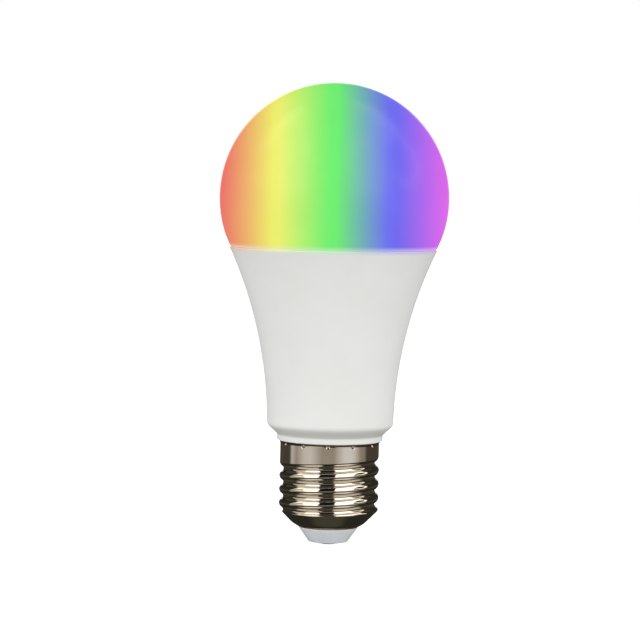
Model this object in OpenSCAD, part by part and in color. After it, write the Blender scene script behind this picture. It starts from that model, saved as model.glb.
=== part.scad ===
// Smart colour light bulb with an E27 screw cap.
// Millimetres. The origin is on the end face of the centre contact, and +Z runs up the lamp's axis to the
// top of the diffuser. -Y is the front.

/* [Diffuser] */
// Overall length, from the centre contact to the top of the diffuser
total_h = 121; // [119:0.5:123]
// Outer radius of the spherical diffuser
dome_r = 30; // [29.5:0.1:30.5]
// Wall of the diffuser
dome_wall = 1.2; // [1:0.1:1.4]

/* [Housing] */
// Height of the seam between the housing and the diffuser
seam_z = 77.9; // [77.6:0.1:78.4]
// Outer radius of the housing's neck
neck_r = 16.62; // [16.4:0.02:16.7]
// Radius of the concave arc that flares the housing out
flare_r = 112.7; // [112:0.1:116]
// Height at which the flare's arc stands upright
flare_z = 30; // [29.5:0.1:30.5]
// Wall of the housing
housing_wall = 1.3; // [1.2:0.05:1.4]
// Radius of the lip that sits on the cap
lip_r = 13.9; // [13.8:0.05:14]
// Inner radius of the neck tube that goes down into the cap
neck_bore_r = 10; // [9.9:0.05:10.1]

/* [E27 cap] */
// Thread pitch of an E27 cap
pitch = 3.629; // [3.629]
// Radius over the thread's crests
crest_r = 13.1; // [13.05:0.01:13.2]
// Radius at the thread's roots
root_r = 12.04; // [12:0.01:12.1]
// Radius of the plain skirt above the thread
skirt_r = 13; // [12.95:0.01:13]
// Radial thickness of the rolled sheet
sheet = 0.4; // [0.35:0.01:0.4]
// Height of the skirt's top edge
cap_top = 27.45; // [27.4:0.01:27.5]
// Number of punch marks that lock the cap to the neck
dimple_count = 12; // [8:1:16]

/* [Insulator and contact] */
// Height of the insulator's end face, which is also how far the contact stands out
insulator_z = 0.7; // [0.6:0.05:0.8]
// Radius of the insulator's end face
insulator_r = 5.2; // [5.1:0.05:5.3]
// Radius of the contact's head
contact_r = 4.3; // [4:0.1:4.5]

/* [Light board] */
// Radius of the aluminium board that carries the LEDs
board_r = 22.4; // [22:0.1:22.5]
// Thickness of the light board
board_t = 1; // [0.8:0.1:1]
// Number of white LEDs in the outer ring, half of them cool and half warm
white_count = 18; // [12:2:18]
// Radius of the ring of white LEDs
white_ring = 18.8; // [18.5:0.1:19]
// Number of colour LEDs in the inner ring
rgb_count = 6; // [6]
// Radius of the ring of colour LEDs
rgb_ring = 12; // [11.9:0.1:12.1]

/* [Driver] */
// Thickness of the driver's circuit board
pcb_t = 1.2; // [1:0.1:1.2]
// Half the width of the driver board in the housing
pcb_half = 13.2; // [13:0.1:13.3]
// Diameter of the mains smoothing capacitor
bulk_d = 10; // [9:0.5:10]
// Diameter of the output capacitor
output_d = 8; // [7:0.5:8]
// Diameter of an insulated internal wire
wire_d = 1.2; // [1:0.1:1.3]

/* [Hidden] */
$fa = 4;
$fs = 0.3;

eps = 0.01;
slip = 0.1;

// Diffuser and seam
dome_z = total_h - dome_r;
seam_gap = 0.15;
spigot_r = 25;
spigot_wall = 1.2;
spigot_z = 75.65;
bead_r = 0.35;
bead_z = 76.9;
bead_in = 0.1;
flange_t = 1.1;
flange_r = 26.9;
adhesive_w = 1.4;

// Housing
pocket_z = 75.5;
lip_z = cap_top + 0.05;
collar_r = skirt_r - sheet - slip;
collar_z = 23.6;
tube_r = root_r - sheet - slip - 0.05;
tube_z = 12;
rail_w = pcb_t + 0.3;
rail_h = 26;
wire_groove_w = 1;
wire_groove_d = 0.8;
return_r = 0.34;

// Underside of the neck: a rounded shoulder, a slope, and a hollow fillet over the lip
shoulder_z = 32.25;
shoulder_round = 1.6;
cove_r = 0.9;
slope = 47;
shoulder_x = neck_r + 0.02 - shoulder_round;
slope_top = [shoulder_x + shoulder_round * cos(slope), shoulder_z - shoulder_round * sin(slope)];
slope_low_x = lip_r + cove_r * (1 - cos(slope));
cove_z = slope_top.y - (slope_top.x - slope_low_x) / tan(slope) - cove_r * sin(slope);

// Heat sink and light board
cup_wall = 0.8;
cup_low = 34.6;
plate_z = 74.2;
plate_t = 1.2;
plate_rim_h = 3.6;
plate_rim_t = 1;
paste_t = 0.15;
board_z = plate_z + paste_t;
board_top = board_z + board_t;
screw_ring = 14;
screw_count = 3;
screw_r = 1.2;
screw_head_r = 2.2;
screw_head_h = 1.5;
screw_bevel = 0.5;
screw_tip = 2.6;
recess = [2.6, 0.55, 1.4];

// LEDs, with the wells that hold phosphor or clear resin
white_size = [3.5, 2.8, 0.7];
white_well = [2.7, 2.1, 0.3];
rgb_size = [5, 5, 1.6];
rgb_well_r = 1.9;
rgb_well_t = 0.5;
rgb_turn = 30;
sunk = 0.02;

// Chips and small parts
so8_size = [4.9, 3.9, 1.5];
so8_step = 1.27;
leg_size = [0.4, 0.9, 0.25];
chip_rise = 0.1;
driver_chip_at = [3.3, -5.4];
rectifier_size = [4.7, 3.9, 1.5];
rectifier_at = [6.4, 32.6];
rectifier_step = 2.5;
controller_at = [-8, 53];
diode_size = [2.6, 4.3, 2.2];
diode_at = [6.5, 52];
passive_size = [2, 1.25, 0.55];
passive_ring = 15.7;
passive_turns = [46, 74, 106, 134, 226, 254, 286, 314];
driver_passive_x = [-9.5, -6.5, 1, 4];
driver_passive_z = [36.4, 43.6, 46];

// Wireless module, which stands upright through the middle of the light board
radio_w = 16;
radio_t = 0.8;
radio_low = 62;
radio_high = 83;
radio_slot = [radio_w + 0.6, radio_t + 0.6];
shield_size = [12, 2, 10];
shield_low = 62.6;
shield_wall = 0.2;
antenna_x = -6.5;
antenna_low = 78.4;
antenna_high = 81.4;
antenna_feed = 77;
antenna_runs = 6;
antenna_step = 1.9;
trace_w = 0.5;
trace_t = 0.08;
radio_joint = [1, 1, 0.8];
radio_joint_x = -6;
radio_joint_step = 2.4;
radio_joint_count = 6;

// Driver board, behind the axis
pcb_y = 3;
pcb_back = pcb_y + pcb_t;
pcb_low = 12.6;
pcb_step = 35.2;
pcb_high = 71.5;
pcb_neck_half = 9.7;

// Pins that carry power up to the light board
pin_w = 0.64;
pin_step = 2.54;
pin_count = 4;
pin_y = pcb_back + pin_step / 2;
pin_low = 65.8;
pin_h = 11.4;
header_low = 68;
socket_size = [11, 4, 2.2];

// Places of the large parts on the driver board
bulk_at = [1.6, -2.7, 14.4];
bulk_h = 16;
output_at = [9.6, -1.4, 48.6];
output_h = 12;
film_at = [-7.6, 0.4, 37];
film_size = [9, 4.6, 8];
inductor_at = [-9.4, -0.6, 48];
inductor_h = 9;
inductor_r = 3.2;
varistor_at = [5.4, 0.6, 40];
varistor_r = 4;
varistor_t = 3.2;
fuse_at = [-6.4, -0.8, 16];
fuse_h = 9;
fuse_r = 1.5;
transformer_at = [0, -3.4, 54.6];
core_size = [10.2, 5, 10.4];
leg_w = 2.6;
side_leg = 1.4;
yoke_h = 2.5;
bobbin_wall = 0.5;
bobbin_w = 7;
bobbin_d = 10.4;
bobbin_front = -4.6;
bobbin_h = core_size.z - 2 * yoke_h - 0.2;
bobbin_pin_x = [-3.6, 0, 3.6];
bobbin_pin_rise = 4.8;
pin_rail = [10.8, 3.35, 3.2];
pin_rail_rise = 2.2;
pin_rail_y = 3;
winding_size = [6.8, 7.2, bobbin_h - 2 * bobbin_wall - 0.1];
winding_y = -4.3;

// Cans, their film sleeves and the small wound and moulded parts
can_film = 0.15;
can_groove_z = 2;
can_groove_r = 0.5;
can_vent_w = 0.3;
can_vent_t = 0.15;
bung_h = 0.8;
bung_in = 0.9;
film_round = 1;
inductor_flange = 1.2;
inductor_waist = 0.6;
resistor_cap_h = 1.8;

// Heights at which the leads go through the driver board
bulk_lead_z = 32.4;
output_lead_z = 62.6;
inductor_lead_z = 59;
film_lead_z = 41;
varistor_lead_z = 39.4;
fuse_lead_z = 28.4;
lead_r = 0.3;
lead_out = 0.8;

// Wires from the cap: the live one from the contact to the fusible resistor, and the bare return wire
// from the driver board to the inside of the cap's skirt
live_route = [fuse_at - [0, 0, 0.3], fuse_at - [0, 0, 1.6], [-5, -0.8, 12.2], [-2.2, -0.6, 10.9],
    [-0.4, -0.1, 10.4], [0, 0, 9.6], [0, 0, 8.8]];
return_route = [[5.2, pcb_y, 14.6], [5.1, 2.2, 14], [4.9, 2.2, 12.2], [4.4, 3.6, 10.8], [2.8, 7, 10.2],
    [0.9, 10, 10.2], [0, 11.05, 11.2], [0, 11.1, 13], [0, 11.1, 17.5], [0, 11.1, 22], [0, 11.8, 24.4],
    [0, 12.2, 26.4]];

// Where the leads go through the driver board, as [x, z]
lead_points = concat(
    [for (s = [-1, 1]) [bulk_at.x + s * 1.2, bulk_lead_z]],
    [for (s = [-1, 1]) [output_at.x + s * 1.2, output_lead_z]],
    [for (s = [-1, 1]) [inductor_at.x + s * 1.6, inductor_lead_z]],
    [for (s = [-1, 1]) [film_at.x + s * 3.5, film_lead_z]],
    [for (s = [-1, 1]) [varistor_at.x + s * 2.5, varistor_lead_z]],
    [for (x = bobbin_pin_x, s = [-1, 1]) [x, transformer_at.z + s * bobbin_pin_rise]],
    [[fuse_at.x, fuse_lead_z], [return_route[0].x, return_route[0].z]]);

// Thread: the groove's centre line passes height groove_z at azimuth 0 and rises with the azimuth
groove_z = 21.6;
groove_d = crest_r - root_r;
valley_r = 0.75;
ridge_r = (pow(pitch / 2, 2) + pow(groove_d, 2)) / (2 * groove_d) - valley_r;
rings = 33;
sides = 48;
shell_low = 4.6;
shell_lip_r = 7.72;
cone_z = 6;
cone_r = 9.97;
cone_curl = 0.4;
skirt_z = 23.2;
join_h = 0.5;
join_in = 0.07;
embed = 0.3;
rim_out = 0.55;
rim_mid_out = 0.22;
rim_z = cap_top - 0.75;
mark_r = 0.55;
mark_z = cap_top - 0.75;
mark_out = 0.3;
first_mark = 268;

// Insulator and contact, which is a rivet with a domed head
contact_flat_r = 1.2;
contact_dome = [[1.9, 0.07], [2.7, 0.24], [3.5, 0.45]];
rivet_r = 1.5;
rivet_top = 8.5;
insulator_top = 8.1;

// ---------- shared shapes ----------

module revolve() {
    rotate_extrude()
        intersection() {
            children();
            translate([0, -10]) square([40, 150]);
        }
}

// Section of everything inside the flare, moved inwards by inset
module flare_section(z0, z1, inset = 0) {
    difference() {
        translate([0, z0]) square([dome_r, z1 - z0]);
        translate([neck_r + flare_r, flare_z]) circle(r = flare_r + inset, $fn = 360);
    }
}

function flare_at(z, inset = 0) =
    neck_r + flare_r - sqrt(pow(flare_r + inset, 2) - pow(z - flare_z, 2));

function arc(centre, r, from, to, steps = 8) = [
    for (i = [0 : steps])
        let (a = from + (to - from) * i / steps) centre + r * [cos(a), sin(a)]];

module box_at(centre, size) {
    translate(centre) cube(size, center = true);
}

module ring_of(count, radius, first = 0) {
    for (i = [0 : count - 1])
        rotate([0, 0, first + i * 360 / count]) translate([radius, 0, 0]) children();
}

// Catmull-Rom curve through the points, with n steps between two of them
function curve(p, n) = [
    for (i = [0 : len(p) - 2], k = [0 : n - 1])
        let (t = k / n, a = p[max(i - 1, 0)], b = p[i], c = p[i + 1], d = p[min(i + 2, len(p) - 1)])
            0.5 * (2 * b + (c - a) * t + (2 * a - 5 * b + 4 * c - d) * t * t
                + (3 * b - a - 3 * c + d) * t * t * t),
    p[len(p) - 1]];

function unit(v) = v / norm(v);
function tangent(p, i) = unit(p[min(i + 1, len(p) - 1)] - p[max(i - 1, 0)]);
function level(v, t) = unit(v - (v * t) * t);
// A frame carried along the path without twist
function frames(p, i = 0, side = [0.3, 0.9, 0.1], out = []) =
    i == len(p) ? out
    : let (t = tangent(p, i), s = level(side, t))
        frames(p, i + 1, s, concat(out, [[s, cross(t, s)]]));

module tube_along(p, r, n = 8) {
    f = frames(p);
    points = [for (i = [0 : len(p) - 1], k = [0 : n - 1])
        p[i] + r * (cos(360 * k / n) * f[i][0] + sin(360 * k / n) * f[i][1])];
    walls = [for (i = [0 : len(p) - 2], k = [0 : n - 1])
        [i * n + k, (i + 1) * n + k, (i + 1) * n + (k + 1) % n, i * n + (k + 1) % n]];
    start = [for (k = [0 : n - 1]) k];
    end = [for (k = [n - 1 : -1 : 0]) (len(p) - 1) * n + k];
    polyhedron(points, concat(walls, [start, end]));
}

// ---------- diffuser ----------

module diffuser() {
    color("white")
        revolve() {
            difference() {
                translate([0, dome_z]) circle(r = dome_r, $fn = 240);
                translate([0, dome_z]) circle(r = dome_r - dome_wall, $fn = 240);
                translate([-dome_r, dome_z - 2 * dome_r])
                    square([2 * dome_r, 2 * dome_r - dome_z + seam_z + seam_gap]);
            }
            translate([spigot_r - spigot_wall, seam_z + seam_gap])
                square([flange_r - spigot_r + spigot_wall, flange_t]);
            translate([spigot_r - spigot_wall, spigot_z])
                square([spigot_wall, seam_z + seam_gap - spigot_z + flange_t / 2]);
            translate([spigot_r - bead_in, bead_z]) circle(r = bead_r, $fn = 24);
        }
}

module diffuser_adhesive() {
    color("gainsboro")
        revolve()
            translate([board_r + 0.3, plate_z + 0.1])
                square([adhesive_w, spigot_z - plate_z - 0.1]);
}

// ---------- housing ----------

module housing_outer() {
    flare_section(shoulder_z - eps, seam_z);
    polygon(concat([[0, lip_z], [lip_r, lip_z]], arc([lip_r + cove_r, cove_z], cove_r, 180, 180 - slope),
        arc([shoulder_x, shoulder_z], shoulder_round, -slope, 0), [[0, shoulder_z]]));
    translate([0, tube_z]) square([tube_r, lip_z - tube_z + 1]);
    translate([0, collar_z]) square([collar_r, lip_z - collar_z + 1]);
}

module housing_inner() {
    flare_section(cup_low - 0.2, pocket_z + eps, housing_wall);
    translate([0, pocket_z]) square([spigot_r + slip, 10]);
    translate([spigot_r - bead_in + slip, bead_z]) circle(r = bead_r, $fn = 24);
    translate([0, tube_z - 1]) square([neck_bore_r, 20]);
    low = cup_low - 0.2;
    inner_r = flare_at(low, housing_wall);
    polygon([[0, low + eps], [0, lip_z], [neck_bore_r, low - inner_r + neck_bore_r],
        [inner_r, low], [inner_r, low + eps]]);
}

module housing() {
    color("whitesmoke")
        difference() {
            revolve()
                difference() {
                    housing_outer();
                    housing_inner();
                }
            // rails that the driver board slides down
            box_at([0, pcb_y + pcb_t / 2, tube_z - 1 + rail_h / 2], [2 * pcb_neck_half + 0.3, rail_w, rail_h]);
            // groove that leads the return wire up between the tube and the cap
            translate([-wire_groove_w / 2, tube_r - wire_groove_d, tube_z - 1])
                cube([wire_groove_w, 3, cap_top - tube_z + 0.1]);
        }
}

// ---------- heat sink and light board ----------

module heat_sink_cup() {
    color("silver")
        revolve()
            difference() {
                flare_section(cup_low, plate_z, housing_wall + slip);
                flare_section(cup_low - 1, plate_z + 1, housing_wall + slip + cup_wall);
            }
}

module board_holes(z0, h, r) {
    ring_of(screw_count, screw_ring) translate([0, 0, z0]) cylinder(r = r, h = h);
}

module board_slots(z0, h, spread = 0) {
    translate([-radio_slot.x / 2 - spread, -radio_slot.y / 2 - spread, z0])
        cube([radio_slot.x + 2 * spread, radio_slot.y + 2 * spread, h]);
    translate([-pin_count * pin_step / 2 - spread, pin_y - 0.8 - spread, z0])
        cube([pin_count * pin_step + 2 * spread, 1.6 + 2 * spread, h]);
}

module heat_spreader_plate() {
    inset = housing_wall + slip + cup_wall + 0.05;
    color("lightgray")
        difference() {
            revolve()
                difference() {
                    flare_section(plate_z - plate_rim_h, plate_z, inset);
                    flare_section(plate_z - plate_rim_h - 1, plate_z - plate_t, inset + plate_rim_t);
                }
            board_holes(plate_z - 3, 5, screw_r + 0.05);
            board_slots(plate_z - 3, 5, 0.8);
        }
}

module thermal_paste() {
    color("darkgray")
        difference() {
            translate([0, 0, plate_z]) cylinder(r = board_r - 1, h = paste_t);
            board_holes(plate_z - 1, 3, screw_r + 0.8);
            board_slots(plate_z - 1, 3, 1);
        }
}

module light_board() {
    color("white")
        difference() {
            translate([0, 0, board_z]) cylinder(r = board_r, h = board_t);
            board_holes(board_z - 1, 4, screw_r + 0.2);
            board_slots(board_z - 1, 4);
        }
}

module board_screws() {
    color("lightsteelblue")
        ring_of(screw_count, screw_ring)
            difference() {
                union() {
                    translate([0, 0, plate_z - screw_tip])
                        cylinder(r = screw_r, h = board_top - plate_z + screw_tip + 0.4);
                    translate([0, 0, board_top]) cylinder(r = screw_head_r, h = screw_head_h - screw_bevel);
                    translate([0, 0, board_top + screw_head_h - screw_bevel])
                        cylinder(r1 = screw_head_r, r2 = screw_head_r - 0.6, h = screw_bevel);
                }
                for (a = [0, 90])
                    translate([0, 0, board_top + screw_head_h]) rotate([0, 0, a]) cube(recess, center = true);
            }
}

// ---------- LEDs ----------

// The well of a white LED, filled to a height h
module white_fill(h) {
    translate([-white_well.x / 2, -white_well.y / 2, board_top + white_size.z - white_well.z])
        cube([white_well.x, white_well.y, h]);
}

module white_bodies(first) {
    ring_of(white_count / 2, white_ring, first)
        difference() {
            translate([-white_size.x / 2, -white_size.y / 2, board_top]) cube(white_size);
            white_fill(1);
        }
}

module white_wells(first) {
    ring_of(white_count / 2, white_ring, first) white_fill(white_well.z - sunk);
}

module cool_white_leds() {
    color("ivory") white_bodies(0);
}

module cool_white_phosphors() {
    color("khaki") white_wells(0);
}

module warm_white_leds() {
    color("ivory") white_bodies(360 / white_count);
}

module warm_white_phosphors() {
    color("orange") white_wells(360 / white_count);
}

module at_rgb() {
    for (i = [0 : rgb_count - 1]) {
        a = rgb_turn + i * 360 / rgb_count;
        translate([rgb_ring * cos(a), rgb_ring * sin(a), 0]) children();
    }
}

// The well of a colour LED, filled to a height h
module rgb_fill(h) {
    translate([0, 0, board_top + rgb_size.z - rgb_well_t]) cylinder(r = rgb_well_r, h = h);
}

module colour_leds() {
    color("white")
        at_rgb()
            difference() {
                translate([-rgb_size.x / 2, -rgb_size.y / 2, board_top]) cube(rgb_size);
                rgb_fill(1);
            }
}

module colour_led_windows() {
    color("lightcyan") at_rgb() rgb_fill(rgb_well_t - 2 * sunk);
}

// A small-outline chip on a surface that faces +Z, with gull-wing legs
module chip(size, legs, leg_step) {
    translate([-size.x / 2, -size.y / 2, chip_rise]) cube([size.x, size.y, size.z - chip_rise]);
    for (s = [-1, 1], i = [0 : legs - 1])
        translate([(i - (legs - 1) / 2) * leg_step, s * (size.y + leg_size.y) / 2, leg_size.z / 2])
            cube(leg_size, center = true);
}

module led_driver_chips() {
    color("dimgray")
        for (s = [-1, 1])
            translate([s * driver_chip_at.x, driver_chip_at.y, board_top]) chip(so8_size, 4, so8_step);
}

module chip_passive() {
    translate([-passive_size.x / 2, -passive_size.y / 2, 0]) cube(passive_size);
}

module light_board_passives() {
    color("peru")
        for (a = passive_turns)
            rotate([0, 0, a]) translate([passive_ring, 0, board_top]) rotate([0, 0, 90]) chip_passive();
}

module power_socket() {
    color("snow")
        difference() {
            translate([-socket_size.x / 2, pin_y - socket_size.y / 2, board_top]) cube(socket_size);
            for (i = [0 : pin_count - 1])
                translate([(i - (pin_count - 1) / 2) * pin_step, pin_y, board_top + 1])
                    cube([pin_w + 0.3, pin_w + 0.3, 4], center = true);
        }
}

module power_header() {
    color("black")
        difference() {
            translate([-pin_count * pin_step / 2, pcb_back, header_low])
                cube([pin_count * pin_step, pin_step, pin_step]);
            for (i = [0 : pin_count - 1])
                box_at([(i - (pin_count - 1) / 2) * pin_step, pin_y, header_low + 1],
                    [pin_w + 0.04, pin_w + 0.04, 5]);
        }
}

module power_pins() {
    color("gold")
        for (i = [0 : pin_count - 1])
            translate([(i - (pin_count - 1) / 2) * pin_step - pin_w / 2, 0, 0]) {
                translate([0, pin_y - pin_w / 2, pin_low]) cube([pin_w, pin_w, pin_h]);
                translate([0, pcb_y - 1, pin_low]) cube([pin_w, pin_y - pcb_y + 1, pin_w]);
            }
}

// ---------- wireless module ----------

module wireless_board() {
    color("darkgreen")
        translate([-radio_w / 2, -radio_t / 2, radio_low])
            cube([radio_w, radio_t, radio_high - radio_low]);
}

module wireless_shield() {
    color("silver")
        difference() {
            translate([-shield_size.x / 2, -radio_t / 2 - shield_size.y, shield_low]) cube(shield_size);
            translate([-shield_size.x / 2, -radio_t / 2 - shield_size.y, shield_low] + shield_wall * [1, 1, 1])
                cube(shield_size + [-2 * shield_wall, 1, -2 * shield_wall]);
        }
}

// Meander antenna on the part of the board that stands above the light board
module wireless_antenna() {
    color("goldenrod")
        translate([antenna_x, -radio_t / 2 - trace_t, 0]) {
            for (i = [0 : antenna_runs - 1])
                translate([i * antenna_step, 0, i % 2 == 0 ? antenna_high : antenna_low])
                    cube([antenna_step + trace_w, trace_t, trace_w]);
            for (i = [0 : antenna_runs])
                let (low = i == 0 ? antenna_feed : antenna_low)
                    translate([i * antenna_step, 0, low])
                        cube([trace_w, trace_t, antenna_high + trace_w - low]);
        }
}

module wireless_solder() {
    color("lightgray")
        for (s = [-1, 1], i = [0 : radio_joint_count - 1])
            box_at([radio_joint_x + i * radio_joint_step, s * (radio_t + radio_joint.y) / 2,
                board_top + radio_joint.z / 2], radio_joint);
}

// ---------- driver ----------

module lead_holes() {
    for (p = lead_points)
        translate([p.x, pcb_y - 1, p.y]) rotate([-90, 0, 0]) cylinder(r = 0.45, h = pcb_t + 2, $fn = 24);
}

module driver_board() {
    color("seagreen")
        difference() {
            translate([0, pcb_back, 0]) rotate([90, 0, 0])
                linear_extrude(pcb_t)
                    polygon([[-pcb_neck_half, pcb_low], [pcb_neck_half, pcb_low],
                        [pcb_neck_half, pcb_step - 3], [pcb_half, pcb_step], [pcb_half, pcb_high],
                        [-pcb_half, pcb_high], [-pcb_half, pcb_step], [-pcb_neck_half, pcb_step - 3]]);
            lead_holes();
            for (i = [0 : pin_count - 1])
                box_at([(i - (pin_count - 1) / 2) * pin_step, pcb_y, pin_low + pin_w / 2],
                    [pin_w + 0.2, 6, pin_w + 0.2]);
        }
}

// Puts a chip on the back of the driver board, with its face to +Y
module on_back(at) {
    translate([at.x, pcb_back, at.y]) rotate([-90, 0, 0]) children();
}

module bridge_rectifier() {
    color("black") on_back(rectifier_at) chip(rectifier_size, 2, rectifier_step);
}

module power_controller() {
    color("black") on_back(controller_at) rotate([0, 0, 90]) chip(so8_size, 4, so8_step);
}

module output_diode() {
    color("dimgray") on_back(diode_at) rotate([0, 0, 90]) chip(diode_size, 1, 1);
}

module driver_passives() {
    color("saddlebrown")
        for (x = driver_passive_x, z = driver_passive_z)
            on_back([x, z]) chip_passive();
}

module electrolytic_can(d, h) {
    r = d / 2 - can_film;
    difference() {
        cylinder(r = r, h = h);
        translate([0, 0, h - can_groove_z])
            rotate_extrude() translate([r, 0]) circle(r = can_groove_r, $fn = 24);
        for (a = [0, 90])
            rotate([0, 0, a]) cube([2 * r, can_vent_w, 2 * can_vent_t], center = true);
    }
    translate([0, 0, h - eps]) cylinder(r = r - bung_in, h = bung_h);
}

module electrolytic_sleeve(d, h) {
    difference() {
        translate([0, 0, 0.3]) cylinder(r = d / 2, h = h - 0.5);
        cylinder(r = d / 2 - can_film + eps, h = h);
    }
}

module bulk_capacitor() {
    color("silver") translate(bulk_at) electrolytic_can(bulk_d, bulk_h);
}

module bulk_capacitor_sleeve() {
    color("darkslategray") translate(bulk_at) electrolytic_sleeve(bulk_d, bulk_h);
}

module output_capacitor() {
    color("silver") translate(output_at) electrolytic_can(output_d, output_h);
}

module output_capacitor_sleeve() {
    color("midnightblue") translate(output_at) electrolytic_sleeve(output_d, output_h);
}

module film_capacitor() {
    color("firebrick")
        translate([film_at.x, film_at.y, film_at.z + film_size.z / 2])
            hull()
                for (x = [-1, 1], z = [-1, 1])
                    translate([x * (film_size.x / 2 - film_round), 0, z * (film_size.z / 2 - film_round)])
                        rotate([90, 0, 0]) cylinder(r = film_round, h = film_size.y, center = true, $fn = 24);
}

module line_inductor() {
    color("dimgray")
        translate(inductor_at)
            difference() {
                cylinder(r = inductor_r, h = inductor_h);
                translate([0, 0, inductor_flange])
                    difference() {
                        cylinder(r = inductor_r + 1, h = inductor_h - 2 * inductor_flange);
                        cylinder(r = inductor_r - inductor_waist, h = inductor_h - 2 * inductor_flange);
                    }
            }
}

module inductor_sleeve() {
    color("black")
        translate(inductor_at)
            difference() {
                translate([0, 0, 0.2]) cylinder(r = inductor_r + 0.3, h = inductor_h - 0.4);
                cylinder(r = inductor_r + 0.05, h = inductor_h);
            }
}

module surge_varistor() {
    color("royalblue")
        translate([varistor_at.x, varistor_at.y, varistor_at.z + varistor_r])
            rotate([90, 0, 0]) {
                cylinder(r = varistor_r, h = varistor_t - 1, center = true);
                cylinder(r = varistor_r - 0.7, h = varistor_t, center = true);
            }
}

module fusible_resistor() {
    color("darkkhaki")
        translate(fuse_at) {
            cylinder(r = fuse_r - 0.2, h = fuse_h);
            for (z = [0, fuse_h - resistor_cap_h])
                translate([0, 0, z]) cylinder(r = fuse_r, h = resistor_cap_h);
        }
}

module resistor_sleeve() {
    color("white")
        translate([fuse_at.x, fuse_at.y, fuse_at.z - 0.6])
            difference() {
                cylinder(r = fuse_r + 0.4, h = fuse_h + 1.2);
                translate([0, 0, -1]) cylinder(r = fuse_r + 0.05, h = fuse_h + 4);
            }
}

module transformer_core() {
    window_w = core_size.x / 2 - side_leg - leg_w / 2;
    color("darkslategray")
        translate(transformer_at)
            difference() {
                cube(core_size, center = true);
                for (s = [-1, 1])
                    translate([s * (leg_w / 2 + window_w / 2), 0, 0])
                        cube([window_w, core_size.y + 2, core_size.z - 2 * yoke_h], center = true);
            }
}

module bobbin_flange(z) {
    difference() {
        translate([-bobbin_w / 2, bobbin_front, z]) cube([bobbin_w, bobbin_d, bobbin_wall]);
        translate([-leg_w / 2 - 0.1, -core_size.y / 2 - 0.1, z - 1]) cube([leg_w + 0.2, core_size.y + 0.2, 3]);
    }
}

module transformer_bobbin() {
    color("black")
        translate(transformer_at) {
            bobbin_flange(-bobbin_h / 2);
            bobbin_flange(bobbin_h / 2 - bobbin_wall);
            difference() {
                cube([leg_w + 2 * bobbin_wall, core_size.y + 2 * bobbin_wall, bobbin_h], center = true);
                cube([leg_w + 0.2, core_size.y + 0.2, bobbin_h + 1], center = true);
            }
            // rails that hold the pins and stand on the circuit board
            for (s = [-1, 1])
                translate([-pin_rail.x / 2, pin_rail_y, s * (bobbin_h / 2 + pin_rail_rise) - pin_rail.z / 2])
                    cube(pin_rail);
            translate([-bobbin_w / 2, pin_rail_y, -bobbin_h / 2 - 1]) cube([bobbin_w, 2.8, bobbin_h + 2]);
        }
}

module transformer_winding() {
    color("gold")
        translate(transformer_at)
            difference() {
                translate([-winding_size.x / 2, winding_y, -winding_size.z / 2]) cube(winding_size);
                cube([leg_w + 2 * bobbin_wall + 0.1, core_size.y + 2 * bobbin_wall + 0.1, bobbin_h],
                    center = true);
            }
}

// A lead that leaves a part upwards or downwards and bends level, to go through the board
module lead_through(from, z) {
    start = from + [0, 0, 0.1 * sign(z - from.z)];
    tube_along(concat([from], curve([start, [from.x, from.y + 0.8, z], [from.x, pcb_y, z],
        [from.x, pcb_back + lead_out, z]], 3)), lead_r, 8);
}

// A lead that goes straight back through the board
module lead_back(x, y, z) {
    translate([x, y, z]) rotate([-90, 0, 0]) cylinder(r = lead_r, h = pcb_back + lead_out - y);
}

module component_leads() {
    color("lightgray") {
        for (s = [-1, 1]) {
            lead_through(bulk_at + [s * 1.2, 0, bulk_h + 0.8], bulk_lead_z);
            lead_through(output_at + [s * 1.2, 0, output_h + 0.8], output_lead_z);
            lead_through(inductor_at + [s * 1.6, 0, inductor_h], inductor_lead_z);
            lead_through(varistor_at + [s * 2.5, 0, 0.6], varistor_lead_z);
            lead_back(film_at.x + s * 3.5, film_at.y + film_size.y / 2, film_lead_z);
        }
        lead_through(fuse_at + [0, 0, fuse_h], fuse_lead_z);
        for (x = bobbin_pin_x, s = [-1, 1])
            lead_back(x, pcb_y - 0.05, transformer_at.z + s * bobbin_pin_rise);
    }
}

module solder_joints() {
    color("silver")
        for (p = lead_points)
            translate([p.x, pcb_back, p.y]) rotate([-90, 0, 0])
                difference() {
                    cylinder(r1 = 1, r2 = 0.5, h = 0.7);
                    cylinder(r = 0.46, h = 3, center = true);
                }
}

// ---------- wires to the cap ----------

module live_wire() {
    color("red")
        tube_along(concat([fuse_at - [0, 0, 0.02]], curve(live_route, 3), [[0, 0, 8.52]]), wire_d / 2, 10);
}

module neutral_wire() {
    color("black")
        tube_along(concat([return_route[0] + [0, pcb_t + lead_out, 0]], curve(return_route, 3)), return_r, 8);
}

// ---------- screw cap ----------

// Share of the groove's depth at a height dz from its centre: two arcs that meet on the flank
function groove_share(dz) =
    let (d = abs(dz), meet = pitch / 2 * valley_r / (valley_r + ridge_r))
        d < meet
            ? (groove_d - valley_r + sqrt(pow(valley_r, 2) - d * d)) / groove_d
            : (ridge_r - sqrt(pow(ridge_r, 2) - pow(pitch / 2 - d, 2))) / groove_d;

// The groove runs out over a third of a turn at its top end
function run_out(turn) = max(0, min(1, (0.4 - turn) / 0.35));

function thread_r(a, z) =
    let (t = (z - groove_z) / pitch - a / 360, k = round(t), turn = k + a / 360)
        crest_r - groove_d * groove_share((t - k) * pitch) * run_out(turn);

// Radius of the rounded cone that closes the shell's lower end
function shell_end_r(z) =
    cone_r + (z - cone_z) - (z < cone_z ? cone_curl * pow(cone_z - z, 2) : 0);

// The thread's sheet slips plain into the skirt over its top end
function in_skirt(z) = z > skirt_z - join_h;

function shell_r(a, z) = in_skirt(z) ? skirt_r - join_in : min(thread_r(a, z), shell_end_r(z));

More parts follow.
